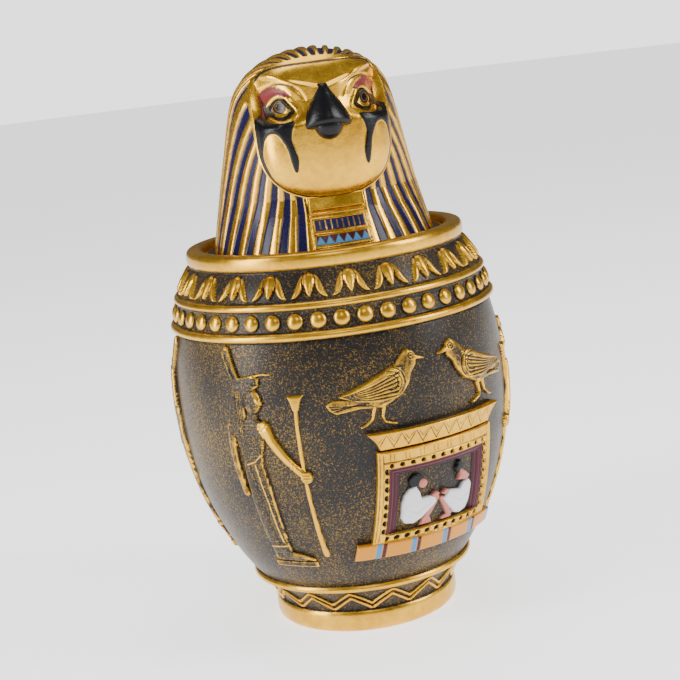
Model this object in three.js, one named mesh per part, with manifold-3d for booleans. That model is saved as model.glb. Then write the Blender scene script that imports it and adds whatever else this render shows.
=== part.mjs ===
// Canopic jar with a falcon-headed lid, as a cast resin copy. Millimetres, +Z up, the face looks along -Y.
// Origin: middle of the underside. Angles round the jar are measured from the face's side (-Y) toward +X.

import * as THREE from 'three';
import Module from 'manifold-3d';

const wasm = await Module();
wasm.setup();
const { Manifold, Mesh } = wasm;

// ---------------------------------------------------------------- driving sizes, mm and degrees

const JAR_SEGMENTS = 30;
const HOLLOW_SEGMENTS = 18;

// Outside of the jar: radius and height, from the underside to the lip.
const FOOT = [[33.0, 0], [35.8, 2.6], [35.8, 7.0], [34.6, 8.8]];
const FOOT_BAND = [[34.8, 9.2], [40.3, 18.4]];
const LEDGE = [[42.6, 18.7], [43.3, 20.0], [42.2, 21.6]];
const BELLY = [
  [48.0, 30.5], [53.5, 42], [58.1, 54.5], [61.5, 68.5], [63.4, 84], [63.3, 100], [60.4, 119.3],
];
const BELLY_RING = [[62.5, 119.9], [62.7, 121.4], [60.5, 122.7]];
const BEAD_BAND = [[58.8, 129.8]];
const NECK_RING = [[60.0, 130.6], [59.6, 132.2], [57.9, 132.9]];
const LOTUS_BAND = [[52.0, 143.0]];
const RIM = [[53.2, 144.0], [53.2, 147.6], [51.4, 149.2], [48.2, 149.2], [46.8, 148.2]];
const LID_SEAT = [[46.8, 145.0]];
const HOLLOW = [
  [27, 8], [36, 20], [43.5, 30], [51.5, 50], [57, 72],
  [58.4, 92], [57, 110], [54, 124], [47.5, 136.5], [41, 139.5], [41, 152],
];

const BEADS = { count: 45, first: -7.6, z: 126.2, r: 2.75, raised: 1.7 };
const LOTUS = { count: 24, first: -3, bottom: 133.5, top: 142.5, halfWidth: 2.1, leaf: 2.2, raised: 1.2 };
const CHEVRONS = { count: 15, first: -20, apex: 18.0, foot: 12.6, width: 3.4, raised: 0.9 };

const SHRINE_AT = 20.7;
const FIGURE_FROM_SHRINE = 64.6;
const SINK = 1.2;
const DRAFT = 0.35;

const LID = { plugR: 40.2, plugBottom: 140.5, discR: 46.2, discBottom: 145.3, discTop: 146.6 };

// Headcloth: rounded sections that lean back to front as they rise.
const CLOTH = { base: 146.6, top: 220, capFrom: 195, halfWidth: 42.2, narrowing: 0.216, backDepth: 41 };
const CLOTH_FRONT = [
  [146.6, 42], [155, 37.5], [160, 34.5], [166, 32.4], [180, 32.6], [190, 32], [200, 29], [210, 24.5], [220, 21],
];
const STRIPES = { first: 21.8, count: 16, share: 0.54, recess: 0.9, edge: 14.1 };
const FACE = { halfWidth: 24.8, z: 188, down: 22.5, up: 26.3, front: -37.5, brow: 205 };

// ---------------------------------------------------------------- small helpers

const rad = (degrees) => (degrees * Math.PI) / 180;
const clamp = (v, lo, hi) => Math.min(hi, Math.max(lo, v));

function interpolate(knots, v) {
  if (v <= knots[0][0]) return knots[0][1];
  for (let i = 1; i < knots.length; i += 1) {
    const [x0, y0] = knots[i - 1];
    const [x1, y1] = knots[i];
    if (v <= x1) return y0 + ((y1 - y0) * (v - x0)) / (x1 - x0);
  }
  return knots[knots.length - 1][1];
}

// Closed solid from points and faces, turned the right way out.
function solid(points, faces) {
  let volume = 0;
  for (const [a, b, c] of faces) {
    const [p, q, r] = [points[a], points[b], points[c]];
    volume += p[0] * (q[1] * r[2] - q[2] * r[1]);
    volume += p[1] * (q[2] * r[0] - q[0] * r[2]);
    volume += p[2] * (q[0] * r[1] - q[1] * r[0]);
  }
  const facing = volume < 0 ? faces.map(([a, b, c]) => [a, c, b]) : faces;
  const vertProperties = new Float32Array(points.flat());
  const triVerts = new Uint32Array(facing.flat());
  return new Manifold(new Mesh({ numProp: 3, vertProperties, triVerts }));
}

const middle = (ring) => [0, 1, 2].map((k) => ring.reduce((s, p) => s + p[k], 0) / ring.length);

// Solid skinned over a stack of rings of equal count, its two ends closed to a point each.
function loft(rings, startPoint, endPoint) {
  const n = rings[0].length;
  const points = rings.flat();
  const faces = [];
  for (let i = 0; i + 1 < rings.length; i += 1) {
    for (let j = 0; j < n; j += 1) {
      const a = i * n + j;
      const b = i * n + ((j + 1) % n);
      faces.push([a, b, b + n], [a, b + n, a + n]);
    }
  }
  const last = (rings.length - 1) * n;
  const start = points.push(startPoint ?? middle(rings[0])) - 1;
  const end = points.push(endPoint ?? middle(rings[rings.length - 1])) - 1;
  for (let j = 0; j < n; j += 1) {
    faces.push([start, (j + 1) % n, j], [end, last + j, last + ((j + 1) % n)]);
  }
  return solid(points, faces);
}

// Solid skinned over rings round the Z axis that may differ in count; the first and last close on the axis.
function skin(rings) {
  const turn = (p) => (Math.atan2(p[0], -p[1]) + 4 * Math.PI) % (2 * Math.PI);
  const sorted = rings.map((ring) => [...ring].sort((p, q) => turn(p) - turn(q)));
  const points = sorted.flat();
  const faces = [];
  let base = 0;
  for (let k = 0; k + 1 < sorted.length; k += 1) {
    const [lower, upper] = [sorted[k], sorted[k + 1]];
    const next = (ring, i) => (i < ring.length ? turn(ring[i]) : turn(ring[0]) + 2 * Math.PI);
    const at = (i) => base + (i % lower.length);
    const over = (j) => base + lower.length + (j % upper.length);
    let i = 0;
    let j = 0;
    while (i < lower.length || j < upper.length) {
      const stepLower = j >= upper.length || (i < lower.length && next(lower, i + 1) <= next(upper, j + 1));
      if (stepLower) {
        faces.push([at(i), at(i + 1), over(j)]);
        i += 1;
      } else {
        faces.push([at(i), over(j + 1), over(j)]);
        j += 1;
      }
    }
    base += lower.length;
  }
  const last = sorted[sorted.length - 1];
  const start = points.push([0, 0, sorted[0][0][2]]) - 1;
  const end = points.push([0, 0, last[0][2]]) - 1;
  sorted[0].forEach((_, i) => faces.push([start, (i + 1) % sorted[0].length, i]));
  last.forEach((_, i) => faces.push([end, base + i, base + ((i + 1) % last.length)]));
  return solid(points, faces);
}

function circle([r, z], segments) {
  return Array.from({ length: segments }, (_, i) => {
    const t = (2 * Math.PI * i) / segments;
    return [r * Math.sin(t), -r * Math.cos(t), z];
  });
}

const revolve = (profile, segments) => skin(profile.map((point) => circle(point, segments)));

const angles = (count, first) => Array.from({ length: count }, (_, k) => rad(first + (360 * k) / count));

// ---------------------------------------------------------------- relief on the jar

const OUTSIDE = [
  ...FOOT, ...FOOT_BAND, ...LEDGE, ...BELLY, ...BELLY_RING, ...BEAD_BAND, ...NECK_RING, ...LOTUS_BAND,
];
const OUTSIDE_BY_HEIGHT = OUTSIDE.map(([r, z]) => [z, r]);
const outsideRadius = (z) => interpolate(OUTSIDE_BY_HEIGHT, z);

// Point on the jar: x mm round from the direction phi, at height z, raised h off the surface.
function onJar(phi, x, z, h) {
  const r = outsideRadius(z);
  const a = phi + x / r;
  return [(r + h) * Math.sin(a), -(r + h) * Math.cos(a), z];
}

// Flat-topped relief along a path of [x, z, width] points, with sloping sides.
function strip(phi, side, path, h) {
  const section = ([x, z, w], i) => {
    const before = path[Math.max(i - 1, 0)];
    const after = path[Math.min(i + 1, path.length - 1)];
    const length = Math.hypot(after[0] - before[0], after[1] - before[1]);
    const nx = -(after[1] - before[1]) / length;
    const nz = (after[0] - before[0]) / length;
    const at = (k, height) => onJar(phi, side * (x + nx * k), z + nz * k, height);
    const top = Math.max(w / 2 - DRAFT, 0.1);
    return [at(-w / 2 - DRAFT, -SINK), at(-top, h), at(top, h), at(w / 2 + DRAFT, -SINK)];
  };
  return loft(path.map(section));
}

// Oval boss.
function boss(phi, side, [x, z, rx, rz], h, sides = 8) {
  const ring = (k, height) => Array.from({ length: sides }, (_, i) => {
    const t = (2 * Math.PI * (i + 0.5)) / sides;
    return onJar(phi, side * (x + rx * k * Math.cos(t)), z + rz * k * Math.sin(t), height);
  });
  const top = onJar(phi, side * x, z, h);
  return loft([ring(1, -0.8), ring(0.8, h * 0.62)], onJar(phi, side * x, z, -0.8), top);
}

// Wide slab: half-width and height off the jar may differ between its lower and upper edge.
function slab(phi, [xa0, xb0], [xa1, xb1], [z0, z1], [h0, h1]) {
  const columns = Math.max(1, Math.round((xb1 - xa1) / 11));
  const rows = Math.max(1, Math.round((z1 - z0) / 16));
  const section = (i) => {
    const at = (j, h) => {
      const k = j / rows;
      const lo = xa0 + (xa1 - xa0) * k;
      const hi = xb0 + (xb1 - xb0) * k;
      return onJar(phi, lo + ((hi - lo) * i) / columns, z0 + (z1 - z0) * k, h);
    };
    const under = Array.from({ length: rows + 1 }, (_, j) => at(j, -SINK));
    const over = Array.from({ length: rows + 1 }, (_, j) => at(rows - j, h1 + ((h0 - h1) * j) / rows));
    return [...under, ...over];
  };
  return loft(Array.from({ length: columns + 1 }, (_, i) => section(i)));
}

const centred = (w) => [-w, w];

// Ring of points round the jar that repeats a motif: each [x, z] of it lies h off the surface.
function wave({ count, first }, motif, h) {
  return angles(count, first).flatMap((phi) => motif.map(([x, z]) => onJar(phi, x, z, h)));
}

// A row of beads: each is a six-sided point.
function beadRings() {
  const { r, z, raised } = BEADS;
  const row = (side) => [[-r, z + side * r * 0.4], [0, z + side * r], [r, z + side * r * 0.4]];
  const crest = angles(BEADS.count, BEADS.first).flatMap((phi) => [
    onJar(phi, -r * 0.75, z, raised * 0.45), onJar(phi, 0, z, raised), onJar(phi, r * 0.75, z, raised * 0.45),
  ]);
  return [wave(BEADS, row(-1), 0), crest, wave(BEADS, row(1), 0)];
}

// A zigzag line round the foot.
function chevronRings() {
  const { count, apex, foot, width, raised } = CHEVRONS;
  const half = (Math.PI * outsideRadius(foot)) / count;
  const row = (drop) => [[0, apex - drop], [half, foot - drop]];
  return [
    wave(CHEVRONS, row(width), 0), wave(CHEVRONS, row(width - 0.4), raised),
    wave(CHEVRONS, row(0.4), raised), wave(CHEVRONS, row(0), 0),
  ];
}

// Long leaves of open flowers side by side: they arch over each petal and meet their neighbours below.
function leafRings() {
  const { count, bottom, top, leaf, raised } = LOTUS;
  const tip = (Math.PI * outsideRadius(bottom)) / count;
  const row = (inner, drop) => [[-inner, top - drop], [inner, top - drop], [tip, bottom + leaf - drop]];
  return [
    wave(LOTUS, row(1.3, leaf), 0), wave(LOTUS, row(1.4, leaf - 0.4), raised),
    wave(LOTUS, row(1.9, 0.4), raised), wave(LOTUS, row(2.0, 0), 0),
  ];
}

function petals() {
  const { count, first, bottom, top, halfWidth, raised } = LOTUS;
  const path = [[0, bottom + 0.3, 0.6], [0, top - 2.9, 1.4 * halfWidth]];
  return angles(count, first).map((phi) => strip(phi, 1, path, raised));
}

// Standing figure in profile with a tall crown, holding a long papyrus staff; it faces toward `side`.
// A plain one, at the back, leaves out the arm that hangs behind and the flower of the staff.
function standingFigure(phi, side, plain) {
  const plinth = [[-4.9, 33.4, 2.8], [12.0, 33.4, 2.8]];
  const body = [[0.5, 34.6, 7.8], [0.3, 69, 9.2], [0.5, 79.5, 8.2], [0.6, 90.8, 15.0]];
  const frontArm = [[6.6, 90.8, 3.4], [11.6, 80.4, 3.2], [19.8, 71, 2.4]];
  const rearArm = [[-7.2, 90.5, 3.2], [-6.4, 63.5, 2.4]];
  const hair = [[-3.4, 90, 7.4], [0.9, 107.4, 8.8]];
  const crown = [[-2.9, 106, 3.4], [-7.2, 118, 2.2]];
  const staff = [[17.0, 37.5, 2.0], [19.5, 95.5, 1.8], [19.7, 100.2, 5.4]].slice(0, plain ? 2 : 3);
  return [
    strip(phi, side, plinth, 1.6), strip(phi, side, body, 2.1), strip(phi, side, frontArm, 2.7),
    strip(phi, side, hair, 2.4), strip(phi, side, crown, 1.8), strip(phi, side, staff, 1.7),
    boss(phi, side, [3.4, 98.6, 3.9, 5.0], 2.6, 5), ...(plain ? [] : [strip(phi, side, rearArm, 2.3)]),
  ];
}

// Shrine front: sill, stepped door frame round a sunk opening, lintel and flared cornice.
function shrine(phi, plain) {
  const jamb = (side, inner, outer, h) => {
    const x = side > 0 ? [inner, outer] : [-outer, -inner];
    return slab(phi, x, x, [40.0, 70.5], [h, h]);
  };
  const bar = (w0, w1, z, h) => slab(phi, centred(w0), centred(w1), z, h);
  const frame = [
    bar(30, 30, [34, 40.7], [3.2, 3.4]),
    bar(21.5, 21.5, [40.2, 43.5], [2.2, 2.2]),
    bar(25, 25, [70, 77.5], [2.6, 2.6]),
    bar(24, 28.3, [77.2, 84.5], [2.2, 4.4]),
    jamb(1, 20.6, 25, 2.6), jamb(-1, 20.6, 25, 2.6),
  ];
  const step = [bar(20.9, 20.9, [67.5, 70.4], [1.3, 1.3]), jamb(1, 16.7, 21.0, 1.3), jamb(-1, 16.7, 21.0, 1.3)];
  return plain ? frame : [...frame, ...step];
}

// Robed figure seated on its heels, turned toward the middle of the shrine.
function seatedFigure(phi, side) {
  const robe = [[-12.4, 45.6, 6.0], [-10.4, 60.0, 6.6]];
  const arm = [[-10.0, 57.5, 4.6], [-2.6, 54.4, 2.8]];
  const thigh = [[-12.0, 48.6, 5.0], [-4.4, 51.4, 3.4], [-5.0, 45.6, 2.4]];
  return [
    strip(phi, side, robe, 2.0), strip(phi, side, arm, 2.3), strip(phi, side, thigh, 1.7),
    boss(phi, side, [-9.0, 62.2, 3.6, 3.9], 2.2, 5),
  ];
}

// Dove standing on the cornice with its beak raised.
function dove(phi, side) {
  const body = [[-34.5, 94.6, 2.4], [-21.0, 99.4, 10.4], [-9.4, 105.4, 6.4], [-6.6, 108.8, 5.4], [-2.6, 107.4, 1.0]];
  const leg = [[-18.2, 95.2, 2.8], [-18.4, 86.4, 1.8], [-13.8, 86.0, 1.3]];
  const rearLeg = [[-22.0, 94.8, 2.6], [-25.0, 86.4, 1.8], [-20.6, 86.0, 1.3]];
  return [strip(phi, side, body, 2.3), strip(phi, side, leg, 1.5), strip(phi, side, rearLeg, 1.5)];
}

function jarBody() {
  const front = rad(SHRINE_AT);
  const back = rad(SHRINE_AT + 180);
  const toFigure = rad(FIGURE_FROM_SHRINE);
  const relief = [
    ...petals(), ...shrine(front, false), ...shrine(back, true),
    ...standingFigure(front - toFigure, 1, false), ...standingFigure(front + toFigure, -1, false),
    ...standingFigure(back - toFigure, 1, true), ...standingFigure(back + toFigure, -1, true),
    ...[1, -1].flatMap((side) => [...seatedFigure(front, side), ...dove(front, side)]),
  ];
  const round = (profile) => profile.map((point) => circle(point, JAR_SEGMENTS));
  const outside = skin([
    ...round(FOOT), ...chevronRings(), ...round([...LEDGE, ...BELLY, ...BELLY_RING]), ...beadRings(),
    ...round([...BEAD_BAND, ...NECK_RING]), ...leafRings(), ...round([...LOTUS_BAND, ...RIM, ...LID_SEAT]),
  ]);
  return Manifold.union([outside, ...relief]).subtract(revolve(HOLLOW, HOLLOW_SEGMENTS));
}

// ---------------------------------------------------------------- headcloth and face

function clothSection(z) {
  const h = z - CLOTH.base;
  const t = clamp((z - CLOTH.capFrom) / (CLOTH.top - CLOTH.capFrom), 0, 1);
  const cap = Math.sqrt(1 - t ** 3);
  return {
    halfWidth: (CLOTH.halfWidth - CLOTH.narrowing * h) * cap,
    front: interpolate(CLOTH_FRONT, z) * cap,
    back: (CLOTH.backDepth - 0.2 * h) * cap,
    middle: -12.4 * clamp(h / (CLOTH.top - CLOTH.base), 0, 1) ** 2,
  };
}

function insideCloth(x, y, z) {
  const s = clothSection(z);
  const dy = y - s.middle;
  return z < CLOTH.top && (x / s.halfWidth) ** 2 + (dy / (dy < 0 ? s.front : s.back)) ** 2 < 1;
}

function clothFront(x, z) {
  const s = clothSection(z);
  return s.middle - s.front * Math.sqrt(1 - clamp(Math.abs(x) / s.halfWidth, 0, 0.999) ** 2);
}

// Edge of the face opening seen from the front, at an angle from straight down.
function openingEdge(degrees) {
  const s = Math.sin(rad(degrees));
  const c = -Math.cos(rad(degrees));
  const n = c < 0 ? 2.5 : 5;
  const reach = c < 0 ? FACE.down : FACE.up;
  const r = ((Math.abs(s) / FACE.halfWidth) ** n + (Math.abs(c) / reach) ** n) ** (-1 / n);
  return [r * s, FACE.z + r * c];
}

// Where a stripe that ends at this angle round the base starts on the face opening.
const STRIPE_START = [
  [0, 0], [14.1, 24.5], [21.8, 33], [32.3, 43], [42.9, 54], [53.4, 68],
  [64, 84], [74.5, 101], [85.1, 119], [95.6, 137], [180, 180],
];
const HEAD_MIDDLE = [0, -6, 178];

// Directions from the head's middle are laid out on a plane, where each stripe is a straight line.
function toPlane(point) {
  const d = point.map((v, k) => v - HEAD_MIDDLE[k]);
  const length = Math.hypot(...d);
  return [d[0] / (length + d[2]), d[1] / (length + d[2])];
}

function castFromMiddle([u, v], under) {
  const s = u * u + v * v;
  const d = [(2 * u) / (1 + s), (2 * v) / (1 + s), (1 - s) / (1 + s)];
  let near = 0;
  let far = 90;
  for (let i = 0; i < 30; i += 1) {
    const mid = (near + far) / 2;
    const at = d.map((k, axis) => HEAD_MIDDLE[axis] + k * mid);
    if (insideCloth(...at)) near = mid;
    else far = mid;
  }
  return d.map((k, axis) => HEAD_MIDDLE[axis] + k * (near - under));
}

function basePoint(degrees) {
  const s = clothSection(CLOTH.base);
  const sin = Math.sin(rad(degrees));
  const cos = Math.cos(rad(degrees));
  const r = 1 / Math.hypot(sin / s.halfWidth, cos / (cos > 0 ? s.front : s.back));
  return [r * sin, -r * cos, CLOTH.base];
}

// One column of the headcloth, from the face opening down to the lid's disc.
function clothColumn(degrees, under, rows) {
  const side = Math.sign(degrees) || 1;
  const [x, z] = openingEdge(interpolate(STRIPE_START, Math.abs(degrees)));
  const from = toPlane([side * x, clothFront(x, z), z]);
  const to = toPlane(basePoint(degrees));
  const column = rows.map((t) => castFromMiddle(from.map((v, k) => v + (to[k] - v) * t), under));
  const foot = column[column.length - 1];
  return [...column, [foot[0], foot[1], CLOTH.base - 0.6]];
}

function headcloth() {
  const { first, count, share, recess, edge } = STRIPES;
  const pitch = (180 - first) / (count - 1);
  const half = [[0, recess], [edge - 1.0, recess], [edge, 0]];
  for (let k = 0; k < count; k += 1) {
    const centre = first + pitch * k;
    const dark = (pitch * share) / 2;
    half.push([centre - dark, 0], [centre, recess]);
    if (k < count - 1) half.push([centre + dark, 0]);
  }
  const mirrored = half.slice(1).reverse().map(([degrees, under]) => [-degrees, under]);
  const rows = [0, 0.08, 0.2, 0.38, 0.64, 1];
  const columns = [...half, ...mirrored].map(([degrees, under]) => clothColumn(degrees, under, rows));
  const rings = columns[0].map((_, i) => columns.map((column) => column[i]));
  return loft(rings, [0, -10, FACE.z], [0, -3, CLOTH.base - 0.6]);
}

const ease = (t) => clamp(t, 0, 1) ** 2 * (3 - 2 * clamp(t, 0, 1));

// Front of the face: full cheeks below, a wedge that narrows to the beak at eye height, and above it a
// flat forehead whose lower edge overhangs the eyes as a brow.
function faceFront(x, z) {
  const ax = Math.abs(x);
  const [ex, ez] = openingEdge(THREE.MathUtils.radToDeg(Math.atan2(ax, FACE.z - z)));
  const rho = clamp(Math.hypot(x, z - FACE.z) / Math.hypot(ex, ez - FACE.z), 0, 1);
  const edge = clothFront(ex, ez) + 0.8;
  const cheeks = edge + (FACE.front - edge) * (1 - rho ** 2.6) ** 0.55;
  const wedge = Math.min(FACE.front - 1 + 0.36 * clamp(z - 192, 0, 9) + 0.0317 * ax ** 2, edge + 1);
  const forehead = -33 + 0.5 * (z - 206) + 0.01 * ax ** 2;
  const upper = wedge + (forehead - wedge) * ease((z - FACE.brow - 0.28 * ax + 0.8) / 1.8);
  const fallen = edge + (upper - edge) * Math.sqrt(1 - rho ** 12);
  return cheeks + (fallen - cheeks) * ease((z - 192) / 6);
}

function face() {
  const sides = 24;
  const ring = (rho, push) => Array.from({ length: sides }, (_, i) => {
    const degrees = (360 * i) / sides;
    const [x, z] = openingEdge(degrees > 180 ? 360 - degrees : degrees);
    const px = (degrees > 180 ? -x : x) * rho;
    const pz = FACE.z + (z - FACE.z) * rho;
    return [px, faceFront(px, pz) + push, pz];
  });
  const rings = [ring(1, 7), ring(1, 0), ...[0.96, 0.84, 0.66, 0.42].map((rho) => ring(rho, 0))];
  return loft(rings, [0, -4, FACE.z], [0, faceFront(0, FACE.z), FACE.z]);
}

// Beak: height, half-width and how far its ridge stands in front of the cheeks.
const BEAK = [
  [186.6, 2.6, 0.4], [188.6, 4.8, 2.4], [191, 5.8, 3.4], [192.4, 8.8, 4.6],
  [196, 7.6, 4.4], [200, 5.4, 1.9], [203.4, 3.4, -0.3], [206.2, 1.8, -2.6],
];

// Rings stacked up the beak's height, each a half-oval that comes to a ridge in front.
function beak() {
  const rings = BEAK.map(([z, halfWidth, reach]) => {
    const y = FACE.front - reach;
    return [
      [-halfWidth, -26, z], [-halfWidth, y + 5, z], [-halfWidth * 0.55, y + 1.3, z], [0, y, z],
      [halfWidth * 0.55, y + 1.3, z], [halfWidth, y + 5, z], [halfWidth, -26, z],
    ];
  });
  return loft(rings);
}

// Raised eye with its lid, lying on the face.
function eye(side) {
  const ring = (k, h) => Array.from({ length: 10 }, (_, i) => {
    const t = (2 * Math.PI * i) / 10;
    const x = side * (15 + 4.8 * k * Math.cos(t));
    const z = 198.8 + 4.0 * k * Math.sin(t);
    return [x, faceFront(x, z) - h, z];
  });
  const x = side * 15;
  const rings = [ring(1.1, -3), ring(1, 0.8), ring(0.7, 0.6)];
  return loft(rings, undefined, [x, faceFront(x, 198.8) - 1.5, 198.8]);
}

// Collar below the chin: flat bars across the gap between the cloth's two front edges.
function collar() {
  const bar = (z0, z1, halfWidth, h) => {
    const corner = (x, z, lift) => [x, clothFront(x, z) + STRIPES.recess - lift, z];
    const section = (x) => [corner(x, z0, -1.5), corner(x, z1, -1.5), corner(x, z1, h), corner(x, z0, h)];
    return loft([-1, -0.33, 0.33, 1].map((k) => section(k * halfWidth)));
  };
  return [bar(148.2, 149.4, 10.4, 0.6), bar(154.6, 155.4, 10, 0.6), bar(156.6, 159.6, 9.8, 0.8)];
}

function falconLid() {
  const { plugR, plugBottom, discR, discBottom, discTop } = LID;
  const profile = [
    [plugR, plugBottom], [plugR, discBottom], [discR, discBottom], [discR, discTop - 0.4], [discR - 0.4, discTop],
  ];
  const disc = revolve(profile, JAR_SEGMENTS);
  return Manifold.union([disc, headcloth(), face(), beak(), eye(1), eye(-1), ...collar()]);
}

// ---------------------------------------------------------------- finished pieces

function piece(name, shape, color, roughness, metalness) {
  const mesh = shape.simplify(0.06).getMesh();
  const geometry = new THREE.BufferGeometry();
  geometry.setAttribute('position', new THREE.BufferAttribute(new Float32Array(mesh.vertProperties), 3));
  geometry.setIndex(new THREE.BufferAttribute(new Uint32Array(mesh.triVerts), 1));
  geometry.computeVertexNormals();
  const material = new THREE.MeshStandardMaterial({ color, roughness, metalness });
  material.name = name;
  const part = new THREE.Mesh(geometry, material);
  part.name = name;
  return part;
}

const model = new THREE.Group();
model.name = 'canopic_jar';
model.add(piece('jar_body', jarBody(), 0x4a4136, 0.45, 0.35));
model.add(piece('falcon_lid', falconLid(), 0xb98a3c, 0.35, 0.6));

export default model;
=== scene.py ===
"""A cast resin canopic jar: a barrel-shaped vessel with painted relief, under a falcon-headed lid.

Shapes are worked out in millimetres and scaled to the frame's metres as they become meshes.
Angles round the jar are measured from the face's side (-Y) toward +X.
"""

import math

import bpy
import numpy as np
from mathutils import Matrix, Vector


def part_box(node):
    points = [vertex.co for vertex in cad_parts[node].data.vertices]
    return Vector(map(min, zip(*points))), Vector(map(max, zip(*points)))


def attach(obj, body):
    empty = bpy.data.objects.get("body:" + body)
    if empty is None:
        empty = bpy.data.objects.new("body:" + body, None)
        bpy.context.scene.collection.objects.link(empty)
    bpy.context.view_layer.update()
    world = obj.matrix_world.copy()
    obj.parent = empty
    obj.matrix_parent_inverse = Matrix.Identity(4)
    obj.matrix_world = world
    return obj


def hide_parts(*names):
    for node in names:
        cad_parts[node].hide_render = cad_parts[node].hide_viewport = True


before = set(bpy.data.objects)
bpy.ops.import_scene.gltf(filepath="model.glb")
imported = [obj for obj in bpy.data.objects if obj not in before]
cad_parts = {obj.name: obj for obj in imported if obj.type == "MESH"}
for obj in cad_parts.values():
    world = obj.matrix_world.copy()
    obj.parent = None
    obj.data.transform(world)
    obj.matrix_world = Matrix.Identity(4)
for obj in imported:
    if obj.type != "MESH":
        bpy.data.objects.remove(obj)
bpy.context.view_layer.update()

MM = 0.001

# ------------------------------------------------------------------ driving sizes, mm and degrees

BELLY = [(21.4, 42.0), (26, 45.2), (32, 48.8), (40, 52.6), (50, 56.6), (60, 59.6), (70, 61.7),
         (80, 63.0), (90, 63.5), (100, 63.2), (110, 62.1), (119.2, 60.4)]
FOOT = [(33.0, 0.0), (34.6, 0.4), (35.7, 2.2), (35.8, 5.2), (35.7, 7.2), (35.2, 8.4), (34.4, 8.9)]
FOOT_BAND = [(34.5, 9.3), (35.4, 11.4), (37.4, 15.0), (40.2, 18.2)]
LEDGE = [(41.6, 18.5), (43.0, 18.9), (43.3, 20.0), (42.8, 21.0), (42.0, 21.4)]
BELLY_RING = [(60.3, 119.3), (61.4, 119.4), (62.5, 120.0), (62.6, 121.2), (62.0, 122.2), (60.4, 122.7)]
BEAD_BAND = [(60.2, 123.2), (58.9, 129.6)]
NECK_RING = [(59.0, 129.9), (59.9, 130.5), (60.0, 131.4), (59.4, 132.4), (58.0, 132.9)]
LOTUS_BAND = [(57.6, 133.4), (56.4, 136), (54.6, 139), (52.9, 141.5), (52.0, 142.9)]
RIM = [(52.3, 143.2), (53.1, 144.2), (53.2, 146.0), (53.1, 147.6), (52.4, 148.8), (51.0, 149.2),
       (48.6, 149.2), (47.4, 148.9), (46.9, 148.0), (46.8, 145.2), (46.6, 145.0)]
HOLLOW = [(41.2, 145.0), (41.0, 144.6), (41.0, 139.5), (47.5, 136.5), (54, 124), (57, 110), (58.3, 92),
          (57, 72), (51.5, 50), (43.5, 30), (36, 20), (27, 8)]

BEADS = {"count": 45, "first": -7.6, "z": 126.2, "r": 3.0, "raised": 1.75}
LOTUS = {"count": 24, "first": -3.0, "top": 142.3}
CHEVRONS = {"count": 15, "first": -20.0, "apex": 18.0, "foot": 12.6}
SHRINE_AT = 20.7
FIGURE_FROM_SHRINE = 64.6
SINK = 1.0
EDGE_BELOW = 2.2
FIGURE_RELIEF = 0.85
SHELL_SIDES = 144
DISC_SIDES = 160

# A distance that counts as outside any flat shape.
FAR = 9

CLOTH_BASE = 146.6
CLOTH_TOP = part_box("falcon_lid")[1][2] / MM
CAP_FROM = 195.0
CLOTH_FRONT = [(146.6, 42), (155, 37.5), (160, 34.5), (166, 32.4), (180, 32.6), (190, 32), (200, 29),
               (210, 24.5), (220, 21)]
STRIPE_FIRST, STRIPE_COUNT, STRIPE_SHARE, STRIPE_RECESS, STRIPE_EDGE = 21.8, 16, 0.54, 0.9, 14.1
FACE_WIDTH, FACE_Z, FACE_DOWN, FACE_UP, FACE_FRONT, FACE_BROW = 24.8, 188.0, 22.5, 26.3, -37.5, 205.0
HEAD_MIDDLE = np.array([0.0, -6.0, 178.0])

# Paints, linear RGB.
NAVY = (0.0085, 0.007, 0.045)
WHITE = (0.72, 0.72, 0.76)
SKIN = (0.50, 0.17, 0.13)
HAIR = (0.006, 0.006, 0.007)
BURGUNDY = (0.055, 0.008, 0.016)
SKY = (0.06, 0.22, 0.42)
OXBLOOD = (0.06, 0.006, 0.008)
ORANGE = (0.62, 0.24, 0.010)
ROSE = (0.20, 0.032, 0.034)
SLATE = (0.022, 0.022, 0.024)
BLACK = (0.004, 0.004, 0.005)

# ------------------------------------------------------------------ meshes from grids


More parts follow.
